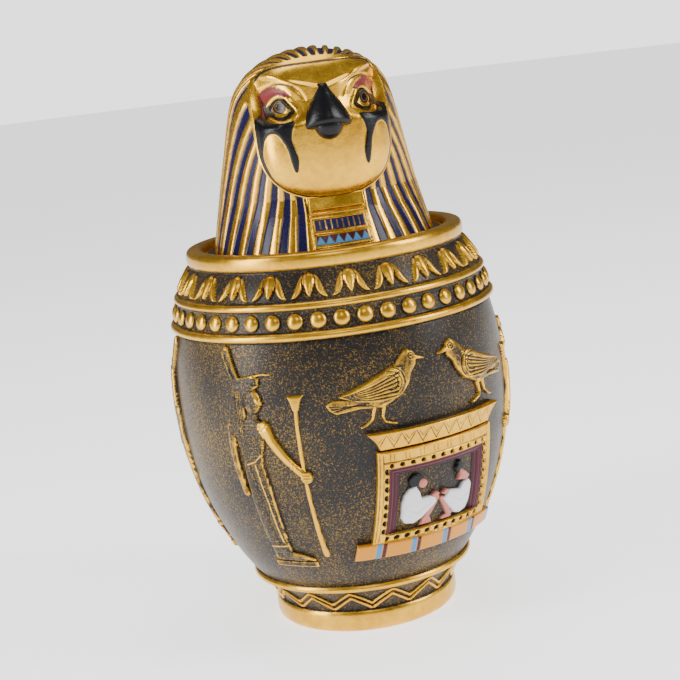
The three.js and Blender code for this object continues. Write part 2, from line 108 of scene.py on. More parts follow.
def loft(name, sections, wrap=False, **attributes):
    """Closed mesh over a grid of points, sections x round x 3, in mm.

    Each section is a closed loop. The sections either wrap round to the first one, or the two ends are
    closed with a fan to their middle. Extra arrays of the same grid become point attributes.
    """
    n, m = sections.shape[:2]
    points = sections.reshape(-1, 3)
    i = np.arange(n if wrap else n - 1)[:, None]
    j = np.arange(m)[None, :]
    a, b = i * m + j, i * m + (j + 1) % m
    d, c = ((i + 1) % n) * m + j, ((i + 1) % n) * m + (j + 1) % m
    quads = np.stack([a, b, c, d], -1).reshape(-1, 4)
    fans = np.zeros((0, 3), int)
    if not wrap:
        ring = np.arange(m)
        last = (n - 1) * m
        start = np.stack([np.full(m, n * m), (ring + 1) % m, ring], -1)
        end = np.stack([np.full(m, n * m + 1), last + ring, last + (ring + 1) % m], -1)
        fans = np.concatenate([start, end])
        points = np.concatenate([points, sections[:1].mean(1), sections[-1:].mean(1)])
    triangles = np.concatenate([quads[:, [0, 1, 2]], quads[:, [0, 2, 3]], fans])
    p, q, r = (points[triangles[:, k]] for k in range(3))
    if np.einsum("ij,ij->", p, np.cross(q, r)) < 0:
        quads, fans = quads[:, ::-1], fans[:, ::-1]
    mesh = bpy.data.meshes.new(name)
    mesh.vertices.add(len(points))
    mesh.vertices.foreach_set("co", (points * MM).astype(np.float32).ravel())
    corners = np.concatenate([quads.ravel(), fans.ravel()]).astype(np.int32)
    mesh.loops.add(len(corners))
    mesh.loops.foreach_set("vertex_index", corners)
    sizes = np.concatenate([np.full(len(quads), 4), np.full(len(fans), 3)]).astype(np.int32)
    mesh.polygons.add(len(sizes))
    mesh.polygons.foreach_set("loop_start", np.concatenate([[0], np.cumsum(sizes)[:-1]]).astype(np.int32))
    mesh.polygons.foreach_set("use_smooth", np.ones(len(sizes), bool))
    mesh.update(calc_edges=True)
    for key, values in attributes.items():
        colour = values.ndim == 3
        flat = values.reshape(n * m, -1)
        if not wrap:
            ends = [values[:1].reshape(m, -1).mean(0), values[-1:].reshape(m, -1).mean(0)]
            flat = np.concatenate([flat, ends])
        layer = mesh.attributes.new(key, "FLOAT_COLOR" if colour else "FLOAT", "POINT")
        layer.data.foreach_set("color" if colour else "value", flat.astype(np.float32).ravel())
    piece = bpy.data.objects.new(name, mesh)
    bpy.context.scene.collection.objects.link(piece)
    return piece


def ring_of(profile, count):
    """Rings of a turned shape: each (radius, height) of the profile carried round the Z axis."""
    profile = np.asarray(profile, float)
    turn = np.linspace(0, 2 * np.pi, count, endpoint=False)
    r, z = profile[:, :1], profile[:, 1:]
    return np.stack([r * np.sin(turn), -r * np.cos(turn), z + 0 * turn], -1)


def smooth_curve(knots, steps):
    """Catmull-Rom curve through the knots, with so many steps in each span."""
    k = np.asarray(knots, float)
    k = np.concatenate([[2 * k[0] - k[1]], k, [2 * k[-1] - k[-2]]])
    t = np.linspace(0, 1, steps, endpoint=False)[:, None]
    spans = []
    for p0, p1, p2, p3 in zip(k[:-3], k[1:-2], k[2:-1], k[3:]):
        spans.append(0.5 * (2 * p1 + (p2 - p0) * t + (2 * p0 - 5 * p1 + 4 * p2 - p3) * t**2
                            + (3 * p1 - p0 - 3 * p2 + p3) * t**3))
    return np.concatenate(spans + [k[-2:-1]])


def rounded(points, passes=2):
    """Corner cutting: each pass puts two points on every side, a quarter in from its ends."""
    p = np.asarray(points, float)
    for _ in range(passes):
        a, b = p[:-1], p[1:]
        cut = np.stack([a * 0.75 + b * 0.25, a * 0.25 + b * 0.75], 1).reshape(-1, p.shape[1])
        p = np.concatenate([p[:1], cut, p[-1:]])
    return p


def ease(t):
    """0 below 0, 1 above 1, and 3t^2 - 2t^3 between."""
    t = np.clip(t, 0, 1)
    return t * t * (3 - 2 * t)


def blur(a, reach):
    """Mean over a square window, as a running sum along each axis."""
    for axis in (0, 1):
        pad = [(reach + 1, reach) if k == axis else (0, 0) for k in range(2)]
        total = np.cumsum(np.pad(a, pad, mode="edge"), axis=axis)
        n = a.shape[axis]
        high = np.take(total, np.arange(2 * reach + 1, n + 2 * reach + 1), axis=axis)
        low = np.take(total, np.arange(n), axis=axis)
        a = (high - low) / (2 * reach + 1)
    return a


# ------------------------------------------------------------------ flat shapes for relief


def stroke(x, z, path):
    """Distance to a line through (x, z, width) points, less half the width there; below 0 inside."""
    best = np.full(np.broadcast(x, z).shape, 1e3)
    for (x0, z0, w0), (x1, z1, w1) in zip(path[:-1], path[1:]):
        dx, dz = x1 - x0, z1 - z0
        t = np.clip(((x - x0) * dx + (z - z0) * dz) / (dx * dx + dz * dz), 0, 1)
        d = np.hypot(x - x0 - dx * t, z - z0 - dz * t) - (w0 + (w1 - w0) * t) / 2
        best = np.minimum(best, d)
    return best


def oval(x, z, cx, cz, rx, rz):
    """Signed distance to an ellipse, to first order: how far its level is from 1, over its slope."""
    u, v = (x - cx) / rx, (z - cz) / rz
    level = np.hypot(u, v)
    return (level - 1) * level / np.maximum(np.hypot(u / rx, v / rz), 1e-6)


def block(x, z, x0, x1, z0, z1):
    """Signed distance to an upright rectangle."""
    dx, dz = np.abs(x - (x0 + x1) / 2) - (x1 - x0) / 2, np.abs(z - (z0 + z1) / 2) - (z1 - z0) / 2
    return np.hypot(np.maximum(dx, 0), np.maximum(dz, 0)) + np.minimum(np.maximum(dx, dz), 0)


def outline(x, z, corners, soft=0.0):
    """Signed distance to a polygon: nearest side, below 0 where a ray crosses an odd number of sides."""
    near = np.full(np.broadcast(x, z).shape, 1e3)
    inside = np.zeros(near.shape, bool)
    for (x0, z0), (x1, z1) in zip(corners, corners[1:] + corners[:1]):
        dx, dz = x1 - x0, z1 - z0
        t = np.clip(((x - x0) * dx + (z - z0) * dz) / (dx * dx + dz * dz), 0, 1)
        near = np.minimum(near, np.hypot(x - x0 - dx * t, z - z0 - dz * t))
        crosses = (z0 > z) != (z1 > z)
        inside ^= crosses & (x < x0 + dx * (z - z0) / np.where(dz == 0, 1e-9, dz))
    return np.where(inside, -near, near) - soft


class Relief:
    """Height, gilding and paint over a grid of x and z, in mm; it starts sunk below the ground by default."""

    def __init__(self, x, z, cell, ground=-SINK, gold=0.0):
        self.x, self.z = x, z
        self.cell = cell
        self.h = np.full(x.shape, float(ground))
        self.gold = np.full(x.shape, gold)
        self.paint = np.zeros(x.shape + (4,))

    def raise_(self, d, height, edge=0.5, dome=0.0, gold=None, paint=None):
        """Lifts the inside of a shape to a height; dome rounds it over that distance in from its edge."""
        inside = ease(0.5 - d / edge)
        top = height
        if dome:
            top = height * (0.45 + 0.55 * np.sqrt(np.clip(1 - (1 - np.clip(-d / dome, 0, 1)) ** 2, 0, 1)))
        self.h = np.maximum(self.h, -SINK + (top + SINK) * inside)
        self.colour(d, gold, paint)

    def cut(self, d, depth, width=0.6, gold=None, paint=None):
        """Engraves along a line: a rounded groove of this depth and width."""
        self.h = self.h - depth * np.exp(-((np.maximum(d, 0) / (width / 2)) ** 2))
        self.colour(d - width * 0.3, gold, paint)

    def colour(self, d, gold=None, paint=None):
        """Paints or gilds the inside of a shape."""
        cover = ease(0.5 - d / 0.35)
        if gold is not None:
            self.gold += (gold - self.gold) * cover
        if paint is not None:
            self.paint[..., :3] += (np.array(paint) - self.paint[..., :3]) * cover[..., None]
            self.paint[..., 3] = np.maximum(self.paint[..., 3], cover)
        elif gold is not None:
            self.paint[..., 3] *= 1 - cover

    def brush_edges(self, reach=1.2, amount=1.0):
        """Gold caught on what stands proud of its surroundings, and lost in the hollows."""
        level = np.maximum(self.h, 0)
        near = level - blur(level, max(1, int(reach * 0.45 / self.cell)))
        far = level - blur(level, max(1, int(reach * 1.5 / self.cell)))
        proud = np.clip(near * 1.6, -0.6, 0.6) + np.clip(far * 0.35, -0.3, 0.3)
        self.gold = np.clip(self.gold + amount * proud, 0, 1)


def sheet(x_range, z_range, cell, ground=-SINK):
    """Relief over an upright rectangle, in cells of about this size."""
    x, z = (np.linspace(lo, hi, max(2, int(round((hi - lo) / cell))) + 1) for lo, hi in (x_range, z_range))
    return Relief(*np.meshgrid(x, z, indexing="ij"), cell, ground)


def plaque(name, relief, place):
    """Closed slab: the relief's surface put in place, with an edge row below it on either side."""
    low = place(relief.x[:, :1], relief.z[:, :1], -EDGE_BELOW)
    high = place(relief.x[:, -1:], relief.z[:, -1:], -EDGE_BELOW)
    sections = np.concatenate([low, place(relief.x, relief.z, relief.h), high], 1)

    def extend(a):
        return np.concatenate([a[:, :1], a, a[:, -1:]], 1)
    return loft(name, sections, gild=extend(relief.gold), paint=extend(relief.paint))


# ------------------------------------------------------------------ the jar

OUTSIDE = np.concatenate([
    rounded(FOOT, 2), rounded(FOOT_BAND, 1), rounded(LEDGE, 2),
    smooth_curve([(r, z) for z, r in BELLY], 8), rounded(BELLY_RING, 2), rounded(BEAD_BAND, 1),
    rounded(NECK_RING, 2), rounded(LOTUS_BAND, 1), rounded(RIM, 2),
])
GROUND = np.concatenate([OUTSIDE[OUTSIDE[:, 1] < 9], rounded(FOOT_BAND, 1), rounded(LEDGE, 2),
                         smooth_curve([(r, z) for z, r in BELLY], 8), BEAD_BAND, NECK_RING, LOTUS_BAND])
GROUND = GROUND[np.argsort(GROUND[:, 1])]


def ground_radius(z):
    """Radius of the jar's plain outside at a height."""
    return np.interp(z, GROUND[:, 1], GROUND[:, 0])


def on_jar(degrees, side=1):
    """Placing for relief on the jar: x runs round it from an angle, toward side."""
    at = math.radians(degrees)
    def place(x, z, h):
        r = ground_radius(z)
        turn = at + side * x / r
        return np.stack([(r + h) * np.sin(turn), -(r + h) * np.cos(turn), z + 0 * turn], -1)
    return place


def vessel():
    """The hollow jar: its outside and its inside are one profile, turned round the axis."""
    profile = np.concatenate([OUTSIDE, rounded(HOLLOW, 1)])
    z = profile[:, 1]
    outer = np.arange(len(z)) < len(OUTSIDE)
    gold = np.zeros(len(z))
    # Gilding fades over the last 0.9 mm of each band: painted shade in the crease where a gilt band meets the
    # dark body.
    for low, high in ((-3, 8.7), (18.3, 21.5), (119.3, 122.8), (129.8, 133.0), (143.1, 152)):
        near = np.minimum(z - low, high - z) / 0.9
        gold = np.where(outer, np.maximum(gold, np.clip(near, 0, 1)), gold)
    sections = ring_of(profile, SHELL_SIDES)
    gold = np.repeat(gold[:, None], SHELL_SIDES, 1)
    return loft("jar_shell", sections, gild=gold, paint=np.zeros(sections.shape[:2] + (4,)))


def band(name, profile_z, count, first, columns, draw, cell_z):
    """Relief that repeats all the way round: one motif is drawn on a grid and carried round by angle."""
    z = np.linspace(*profile_z, int((profile_z[1] - profile_z[0]) / cell_z) + 1)
    pitch = 2 * np.pi * ground_radius(z) / count
    u = (np.arange(columns) + 0.5) / columns - 0.5
    relief = Relief(u[:, None] * pitch[None, :], np.broadcast_to(z, (columns, len(z))).copy(), cell_z)
    draw(relief, pitch[None, :])
    turn = np.radians(first) + 2 * np.pi * (np.arange(count)[:, None] + u[None, :]).ravel() / count
    def around(a):
        rows = np.concatenate([a[:, :1], a, a[:, -1:]], 1)
        return np.tile(rows, (count,) + (1,) * (a.ndim - 1))
    h = around(relief.h)
    h[:, [0, -1]] = -EDGE_BELOW
    zz = np.concatenate([z[:1], z, z[-1:]])[None, :]
    r = ground_radius(zz) + h
    sections = np.stack([r * np.sin(turn)[:, None], -r * np.cos(turn)[:, None], zz + 0 * r], -1)
    return loft(name, sections, wrap=True, gild=around(relief.gold), paint=around(relief.paint))


def draw_chevron(relief, pitch):
    """Two parallel lines rising to a point in the middle of the motif."""
    x, z = relief.x, relief.z
    slope = (CHEVRONS["apex"] - CHEVRONS["foot"]) / (pitch / 2)
    ridge = CHEVRONS["apex"] - slope * np.abs(x)
    across = np.cos(np.arctan(slope))
    for offset, width in ((0.75, 1.2), (2.75, 1.3)):
        d = np.abs((z - ridge + offset / across) * across) - width / 2
        relief.raise_(d, 1.0, edge=0.45, dome=0.6, gold=0.8)
    relief.gold *= np.clip(relief.h * 1.3 + 0.1, 0, 1)


def draw_lotus(relief, pitch):
    """An open flower hanging from the rim: a pointed bud between two leaves that curl away below."""
    x, z = np.abs(relief.x), relief.z
    top = LOTUS["top"]
    leaf = smooth_curve([(1.0, top - 0.5, 0.9), (2.5, top - 2.4, 1.9), (3.6, top - 4.9, 2.4),
                         (5.0, top - 7.2, 1.8), (6.7, top - 8.5, 0.2)], 4)
    half = np.interp(z, [top - 8.4, top - 6.4, top - 3.7, top - 2.2, top - 0.8, top],
                     [0, 1.2, 2.05, 1.95, 1.3, 0])
    bud = (x - half) * 0.85
    relief.raise_(stroke(x, z, leaf), 1.5, edge=0.45, dome=1.1, gold=0.95)
    relief.cut(np.maximum(np.abs(bud - 0.3), z - top), 0.7, 0.7, gold=0.0)
    relief.raise_(bud, 1.9, edge=0.45, dome=1.9, gold=0.95)
    relief.gold *= np.clip(relief.h + 0.25, 0, 1)


def bead_row():
    """Beads side by side: ovoids half sunk in their band, each ring of points one band of latitude."""
    lat = np.linspace(-np.pi / 2, np.pi / 2, 15)[1:-1]
    lon = np.linspace(0, 2 * np.pi, 28, endpoint=False)
    r, raised = BEADS["r"], BEADS["raised"]
    out = raised * np.sin(lat)[:, None] + 0 * lon
    x, z = r * np.cos(lat)[:, None] * np.cos(lon), r * np.cos(lat)[:, None] * np.sin(lon)
    pieces = []
    for k in range(BEADS["count"]):
        place = on_jar(BEADS["first"] + 360 * k / BEADS["count"])
        sections = place(x, BEADS["z"] + z, out)
        # Gold at each bead's crown fades to dark toward the band: painted shade round the bead.
        gild = np.clip(0.05 + 1.1 * np.sin(lat), 0, 1)[:, None] + 0 * lon
        pieces.append(loft("bead", sections, gild=gild, paint=np.zeros(sections.shape[:2] + (4,))))
    return join(pieces, "bead_row")


def join(pieces, name):
    """One mesh of several pieces."""
    first = pieces[0]
    with bpy.context.temp_override(active_object=first, selected_editable_objects=pieces):
        bpy.ops.object.join()
    first.name = first.data.name = name
    return first


def standing_figure(name, degrees, side, cell):
    """A figure in profile with a long wig and a tall crown, one hand on a papyrus staff."""
    s = sheet((-11.5, 24.5), (30.8, 120.2), cell)
    x, z = s.x, s.z
    s.raise_(block(x, z, -4.9, 12.2, 32.0, 34.4), 1.5, gold=0.2)
    s.raise_(stroke(x, z, [(-2.2, 36.4, 3.4), (4.0, 36.0, 2.6), (8.2, 35.2, 1.4)]), 1.5, dome=0.9, gold=0.25)
    s.raise_(stroke(x, z, [(1.8, 37.4, 3.4), (7.0, 36.9, 2.4), (11.6, 35.4, 1.6)]), 1.7, dome=0.9, gold=0.3)
    dress = [(-3.3, 37.8), (-3.6, 43), (-4.2, 60), (-4.2, 72), (-3.5, 80), (4.6, 80), (4.2, 75), (5.0, 66),
             (5.0, 50), (4.5, 43), (4.3, 37.8)]
    s.raise_(outline(x, z, dress), 2.1, dome=2.6, gold=0.18)
    torso = [(-3.6, 78), (4.5, 78), (6.2, 84), (8.8, 88), (8.6, 90.6), (3.6, 93), (-3.6, 93), (-7.2, 91),
             (-5.4, 86)]
    s.raise_(outline(x, z, torso), 2.2, dome=2.4, gold=0.12)
    rear_arm = [(-6.9, 89.6, 3.9), (-7.7, 82, 3.1), (-7.6, 74, 2.7), (-6.7, 66, 2.3), (-6.2, 63.8, 2.9)]
    s.raise_(stroke(x, z, rear_arm), 2.0, dome=1.4, gold=0.25)
    front_arm = [(7.0, 89.8, 4.2), (9.0, 84.6, 3.6), (11.8, 80.0, 3.4), (15.5, 75, 3.1), (18.6, 71.4, 3.0)]
    s.raise_(stroke(x, z, front_arm), 2.5, dome=1.6, gold=0.75)
    s.raise_(stroke(x, z, [(17.1, 37.4, 2.3), (18.3, 55, 1.6), (19.2, 75, 1.5), (19.6, 95.2, 1.5)]), 1.4,
             dome=0.7, gold=0.7)
    s.raise_(oval(x, z, 19.7, 70.2, 2.3, 2.5), 2.6, dome=1.2, gold=0.85)
    umbel = [(18.6, 95), (17.6, 98.6), (16.6, 100.6), (22.9, 100.6), (21.8, 98.6), (20.8, 95)]
    s.raise_(outline(x, z, umbel), 1.6, dome=0.8, gold=0.75)
    s.raise_(stroke(x, z, [(2.4, 91.5, 4.8), (3.0, 96.5, 4.0)]), 1.9, dome=1.6, gold=0.1)
    s.raise_(oval(x, z, 3.4, 98.9, 3.4, 4.5), 2.3, dome=2.0, gold=0.3)
    s.raise_(stroke(x, z, [(5.6, 99.6, 1.6), (6.9, 98.0, 1.0)]), 2.3, dome=0.6, gold=0.6)
    wig = [(-7.4, 91.6), (-6.2, 97), (-4.6, 102), (-3.8, 106.2), (3.6, 106.0), (6.4, 104.6), (4.4, 103.2),
           (1.6, 101.6), (0.4, 98), (0.2, 92), (-0.8, 86.6), (-3.0, 86.4), (-3.6, 91)]
    s.raise_(outline(x, z, wig, 0.2), 2.4, dome=1.2, gold=0.15)
    crown = [(-4.3, 105.4), (-6.9, 111), (-9.3, 116.2), (-7.9, 118.8), (-6.0, 118.2), (-4.7, 114.6),
             (-3.2, 110.6), (-1.6, 107.4), (4.4, 108.6), (6.4, 107.2), (6.4, 104.4), (-3.8, 104.8)]
    s.raise_(outline(x, z, crown), 1.9, dome=1.0, gold=0.12)
    s.raise_(stroke(x, z, [(4.0, 107.9, 0.9), (8, 108.6, 0.8), (10.6, 108.4, 0.7)]), 1.5, gold=0.8)
    s.cut(stroke(x, z, [(-7.4, 115.6, 0), (-3.8, 108, 0)]), 0.7, 1.1)
    s.cut(stroke(x, z, [(-1.9, 107.2, 0), (4.6, 108.4, 0)]), -0.4, 0.5, gold=0.9)
    for k in range(4):
        s.cut(stroke(x, z, [(-3.1 + 0.8 * k, 103.5 - 0.3 * k, 0), (-2.6 + 0.7 * k, 87, 0)]), 0.5, 0.4)
    for r in (4.2, 5.7, 7.2):
        ring = np.abs(np.hypot((x - 2.6) * 0.8, z - 95.2) - r)
        s.cut(np.where((z < 92.5) & (x > -2) & (x < 9), ring, FAR), 0.45, 0.5)
    for k in range(3):
        s.cut(stroke(x, z, [(-3.4, 78.6 + 1.3 * k, 0), (4.8, 79.6 + 1.5 * k, 0)]), 0.45, 0.5)
        s.cut(stroke(x, z, [(17.8, 71.6 - 1.2 * k, 0), (21.6, 71.4 - 1.2 * k, 0)]), 0.5, 0.4)
    s.cut(stroke(x, z, [(-1.8, 75.5, 0), (1.5, 76.6, 0), (4.6, 79.4, 0)]), -0.5, 0.6, gold=0.7)
    s.cut(stroke(x, z, [(-0.6, 75.5, 0), (0.8, 60, 0), (1.2, 43, 0)]), 0.5, 0.7)
    s.cut(stroke(x, z, [(1.4, 75.6, 0), (3.0, 60, 0), (3.2, 43, 0)]), -0.35, 0.7, gold=0.6)
    s.cut(stroke(x, z, [(-3.4, 42.6, 0), (4.6, 43.2, 0)]), 0.6, 0.7)
    s.cut(stroke(x, z, [(-3.4, 41.2, 0), (4.6, 41.8, 0)]), -0.4, 0.6, gold=0.7)
    s.cut(stroke(x, z, [(15.2, 73.0, 0), (17.4, 75.6, 0)]), 0.5, 0.4)
    s.cut(stroke(x, z, [(14.2, 74.2, 0), (16.4, 76.8, 0)]), 0.5, 0.4)
    s.gold *= 0.95
    s.brush_edges(1.1, 0.70)
    s.h = np.where(s.h > 0, s.h * FIGURE_RELIEF, s.h)
    return plaque(name, s, on_jar(degrees, side))


def shrine(name, degrees, cell, plain=False):
    """A shrine's front: sill, gilt door frame with a stepped inner frame, lintel and a flared cornice."""
    s = sheet((-31, 31), (33.2, 85.4), cell)
    x, z = s.x, s.z
    ax = np.abs(x)
    outer = block(x, z, -25, 25, 40, 77)
    s.raise_(outer, 2.5, gold=0.85)
    s.raise_(block(x, z, -30.2, 30.2, 34.0, 40.6), 3.3, edge=0.7, dome=0.8, gold=0.5, paint=ORANGE)
    flare = 24 + 4.3 * np.clip((z - 77.4) / 6.8, 0, 1) ** 1.6
    cornice = np.maximum(np.abs(z - 80.9) - 3.5, ax - flare)
    s.raise_(cornice, 2.4 + 1.9 * np.clip((z - 77.4) / 6.8, 0, 1) ** 1.5, edge=0.6, gold=0.8)
    s.colour(cornice, gold=0.75)
    if plain:
        door = block(x, z, -17, 17, 41, 69)
        s.h = np.where(door < 0.2, np.maximum(1.0 - 0.9 * ease(0.5 - door / 0.5), 0.1), s.h)
        s.cut(np.abs(x), 0.5, 0.8)
        panel = block(ax, z, 2.6, 14.6, 44, 66) + FAR * (block(ax, z, 3.4, 13.8, 44.8, 65.2) < 0)
        s.cut(panel, 0.5, 0.8)
        s.colour(door, gold=0.15)
    else:
        window = block(x, z, -16.7, 16.7, 43.6, 67.5)
        inner = block(x, z, -20.7, 20.7, 40.9, 70.0)
        s.h = np.where(inner < 0, np.minimum(s.h, 1.9), s.h)
        depth = -block(x, z, -20.7, 20.7, 30, 70.0)
        step = 1.9 - 0.55 * np.floor(np.clip(depth / 1.3, 0, 2.9))
        frame_zone = (inner < 0) & (z > 43.6)
        s.h = np.where(frame_zone, step - 0.25 * np.cos(2 * np.pi * depth / 1.3) ** 8, s.h)
        jambs = np.maximum(inner, 43.6 - z)
        s.colour(jambs, gold=0.1, paint=BURGUNDY)
        step_edges = np.where(np.abs(np.mod(depth, 1.3) - 0.2) < 0.16, jambs, FAR)
        s.colour(step_edges, paint=tuple(2.6 * c for c in BURGUNDY))
        s.h = np.where(window < 0, -0.15, s.h)
        s.colour(window, gold=0.0, paint=SLATE)
        s.raise_(np.maximum(block(x, z, -22.4, 22.4, 40.9, 43.7), -window), 2.5, gold=0.9)
        s.colour(block(x, z, -24.9, 24.9, 40.7, 43.7), gold=0.85)
        upper_hole = oval(np.mod(x + 30, 4.0), z, 2.0, 71.2, 0.62, 0.5)
        lower_hole = oval(np.mod(x + 30, 3.9), z, 1.95, 42.1, 0.85, 0.75)
        hole = np.where(ax < 20.5, np.minimum(upper_hole, lower_hole), FAR)
        side_hole = oval(ax, np.mod(z + 0.6, 3.4), 21.6, 1.7, 0.5, 0.8)
        hole = np.minimum(hole, np.where((z > 44) & (z < 70.5), side_hole, FAR))
        s.cut(hole, 1.2, 0.5, gold=0.0, paint=BLACK)
    for at in (22.7, 24.0):
        s.cut(np.where((z > 41) & (z < 76), np.abs(ax - at), FAR), 0.5, 0.45, gold=0.3)
    s.cut(np.where(ax < 22.6, np.abs(z - 72.6), FAR), 0.5, 0.45, gold=0.3)
    strokes = np.minimum(np.abs(np.mod(x + 28, 5.6) - 2.1), np.abs(np.mod(x + 28, 5.6) - 3.5))
    s.cut(np.where((z > 73.2) & (z < 76.2) & (ax < 22), strokes, FAR), 0.4, 0.4, gold=0.35)
    s.cut(np.where(ax < 24, np.abs(z - 77.0), FAR), 0.9, 0.8, gold=0.0, paint=BURGUNDY)
    wave = 78.4 + 4.8 * np.abs(np.mod(x / 5.4, 1) - 0.5) * 2
    s.cut(np.where(ax < flare - 0.8, np.abs(z - wave) * 0.5, FAR), 0.45, 0.45, gold=0.25)
    wave = 80.6 + 3.6 * np.abs(np.mod(x / 5.4, 1) - 0.5) * 2
    s.cut(np.where((ax < flare - 0.8) & (z < 83.6), np.abs(z - wave) * 0.55, FAR), 0.3, 0.35, gold=0.35)
    if not plain:
        sill = block(x, z, -30, 30, 34.2, 40.4)
        for k in range(5):
            at = -22.2 + 12.6 * k
            s.colour(np.maximum(np.abs(x - at) - 0.95, sill), paint=SKY)
            s.colour(np.maximum(np.abs(x - at - 1.9) - 0.7, sill), paint=OXBLOOD)
    s.brush_edges(1.0, 0.5)
    return plaque(name, s, on_jar(degrees))


def seated_figures(name, degrees, cell):
    """Two robed figures seated face to face in the shrine's opening."""
    s = sheet((-16.4, 16.4), (43.7, 67.2), cell, ground=-0.6)
    x, z = s.x, s.z
    robe = [(-15.4, 55), (-15.3, 49.5), (-13.6, 46.9), (-10.3, 46.2), (-7, 48), (-4.6, 50.3), (-1.9, 53),
            (-2.6, 55.7), (-7.9, 55.6), (-8.9, 58.5), (-10.3, 60.6), (-12.9, 60.4), (-14.6, 58.2)]
    s.raise_(stroke(x, z, [(-1.2, 54.4, 2.4), (-3.4, 50, 2.2), (-5.6, 46.8, 2.8)]), 1.2, dome=0.8, paint=SKIN)
    s.raise_(outline(x, z, [(-8, 44.4), (-2.4, 44.4), (-3.2, 46.8), (-5.2, 48.2), (-6.6, 47)]), 1.2,
             dome=0.6, paint=SKIN)
    s.raise_(oval(x, z, -10.4, 63.2, 2.9, 2.8), 1.5, dome=1.2, paint=HAIR)
    s.raise_(oval(x, z, -7.6, 61.6, 1.75, 1.9), 1.9, dome=1.0, paint=SKIN)
    s.raise_(outline(x, z, robe, 0.25), 1.9, dome=2.0, paint=WHITE)
    s.raise_(oval(x, z, -2.3, 56.0, 1.6, 1.2), 2.0, dome=0.8, paint=SKIN)
    robe = [(15.1, 55.4), (14.6, 49), (13.2, 45.8), (10.2, 44.8), (7.8, 45.6), (5, 48.8), (1.8, 53.2),
            (4.2, 55.8), (9.2, 54.7), (10.9, 56.9), (13.6, 57.5)]
    s.raise_(stroke(x, z, [(0.9, 53.6, 1.8), (3.6, 48.8, 2.2), (5.4, 46, 2.6)]), 1.2, dome=0.8, paint=SKIN)
    s.raise_(outline(x, z, [(1.2, 44.2), (6.6, 44.2), (6.0, 46.8), (3.6, 46.4), (1.6, 45.6)]), 1.2,
             dome=0.6, paint=SKIN)
    s.raise_(oval(x, z, 8.9, 63.4, 2.3, 2.2), 1.5, dome=1.0, paint=HAIR)
    s.raise_(oval(x, z, 8.8, 65.4, 1.3, 1.1), 1.4, dome=0.7, paint=HAIR)
    s.raise_(outline(x, z, [(8.2, 59), (9.2, 62.3), (11.2, 61.4), (13.6, 59.2), (12.4, 58.0)], 0.4), 1.8,
             dome=1.0, paint=SKIN)
    s.raise_(outline(x, z, robe, 0.25), 1.9, dome=2.0, paint=WHITE)
    s.raise_(oval(x, z, 2.2, 55.8, 1.6, 1.2), 2.0, dome=0.8, paint=SKIN)
    s.cut(stroke(x, z, [(-13.2, 52.5, 0), (-9.6, 50.4, 0), (-4.6, 53.2, 0)]), 0.35, 0.6)
    s.cut(stroke(x, z, [(12.6, 52.0, 0), (9.4, 50.6, 0), (5.4, 53.0, 0)]), 0.35, 0.6)
    return plaque(name, s, on_jar(degrees))


def dove(name, degrees, side, cell):
    """A dove in profile on the cornice, its wing folded and its beak raised."""
    s = sheet((-42.5, -2), (84.6, 113), cell)
    x, z = s.x, s.z
    tail = [(-24, 97.2), (-38.4, 97.6), (-41.2, 96.2), (-40.0, 94.0), (-37.6, 92.4), (-29, 93.4), (-21, 92.6)]
    s.raise_(outline(x, z, tail), 1.4, dome=0.9, gold=0.35)
    body = [(-9.2, 111.9), (-6.9, 110.6), (-6.2, 108.6), (-6.9, 105.8), (-9.0, 103.4), (-10.6, 99.6),
            (-13.6, 96.2), (-17.4, 94.4), (-21.4, 92.6), (-27, 94.6), (-24, 101), (-14.5, 107.6),
            (-10.9, 111.2)]
    s.raise_(outline(x, z, body), 2.0, dome=2.0, gold=0.35)
    wing = [(-12.8, 106.4), (-16, 106.9), (-25.4, 102.9), (-36.6, 98.7), (-30, 96.2), (-22, 94.9),
            (-15.6, 95.6), (-12.4, 100.4)]
    s.raise_(outline(x, z, wing), 2.6, dome=1.2, gold=0.4)
    s.raise_(stroke(x, z, [(-7.4, 108.6, 2.2), (-5.0, 108.0, 1.4), (-3.1, 107.6, 0.6)]), 1.8, dome=0.8,
             gold=0.85)
    s.raise_(stroke(x, z, [(-20.6, 93.6, 1.6), (-21.5, 89.6, 1.0), (-20.8, 87.6, 0.9), (-16.8, 86.3, 0.9)]),
             1.3, gold=0.9)
    s.raise_(stroke(x, z, [(-24.2, 92.8, 1.4), (-25.2, 89.0, 0.9), (-27.6, 87.2, 0.9), (-29.4, 86.6, 0.8)]),
             1.1, gold=0.6)
    s.cut(stroke(x, z, [(-18, 87.0, 0), (-15.6, 86.2, 0)]), -0.5, 0.6, gold=0.7)
    for k in range(6):
        f = k / 5
        s.cut(stroke(x, z, [(-14.2 - 1.5 * f, 104.6 - 8 * f, 0), (-24 - f, 101.0 - 4.6 * f, 0),
                            (-34.4 + 3 * f, 98.7 - 1.6 * f, 0)]), 0.6, 0.55, gold=0.0)
    for k in range(3):
        s.cut(np.abs(np.hypot(x + 17.6, z - 101.4) - (2.6 + 1.4 * k)) + FAR * ((x < -18.4) | (z < 97.5)),
              0.4, 0.45, gold=0.05)
        s.cut(stroke(x, z, [(-39.6 + 0.6 * k, 95.6 - 1.0 * k, 0), (-27, 94.6 + 0.6 * k, 0)]), 0.4, 0.4,
              gold=0.0)
    s.cut(np.abs(np.hypot(x + 8.5, z - 109.4) - 1.0), 0.5, 0.5, gold=0.1)
    s.cut(np.hypot(x + 8.5, z - 109.4) - 0.25, 0.5, 0.4, gold=0.0)
    s.brush_edges(1.0, 0.9)
    return plaque(name, s, on_jar(degrees, side))


# ------------------------------------------------------------------ the lid: headcloth

STRIPE_START = np.array([(0, 0), (14.1, 24.5), (21.8, 33), (32.3, 43), (42.9, 54), (53.4, 68), (64, 84),
                         (74.5, 101), (85.1, 119), (95.6, 137), (180, 180)], float)


